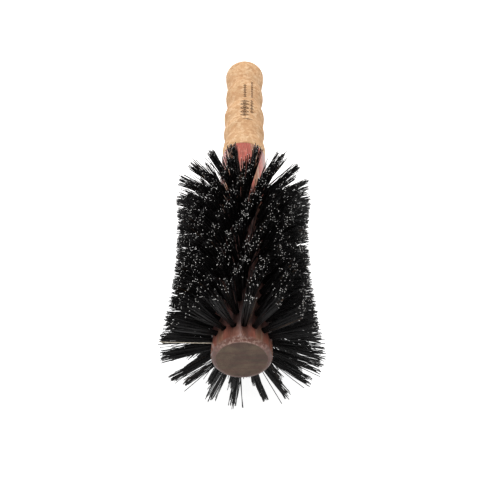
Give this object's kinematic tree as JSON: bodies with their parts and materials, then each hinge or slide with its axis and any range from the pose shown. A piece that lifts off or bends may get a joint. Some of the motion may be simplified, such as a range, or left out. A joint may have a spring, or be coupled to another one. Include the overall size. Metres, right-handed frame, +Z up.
{
  "type": "round barrel brush",
  "caption": "Round barrel hair brush: swirled rows of stiff black bristle tufts on a drilled wooden barrel, with a bare neck and a cork grip with shallow finger bumps.",
  "frame": {"origin": "under the middle of the brush, on the surface that it lies on with its bristle tips", "axes": "+Y along the brush from the barrel's flat end to the domed end of the grip; +Z up; the brush's axis runs 40.5 mm above the origin"},
  "size_m": [0.081, 0.2708, 0.081],
  "materials": {
    "laminated_wood": "laminated wood stained in red and brown layers, clear lacquer, satin gloss",
    "cork": "agglomerated cork, sanded, unvarnished",
    "bristle": "black bristle, slightly glossy, cut tips"
  },
  "bodies": {
    "root": {"barrel": "laminated_wood", "cork_grip": "cork", "bristle_row_01": "bristle", "bristle_row_02": "bristle", "bristle_row_03": "bristle", "bristle_row_04": "bristle", "bristle_row_05": "bristle", "bristle_row_06": "bristle", "bristle_row_07": "bristle", "bristle_row_08": "bristle", "bristle_row_09": "bristle", "bristle_row_10": "bristle", "bristle_row_11": "bristle", "bristle_row_12": "bristle", "bristle_row_13": "bristle", "bristle_row_14": "bristle", "bristle_row_15": "bristle", "bristle_row_16": "bristle", "bristle_row_17": "bristle", "bristle_row_18": "bristle"}
  },
  "joints": []
}
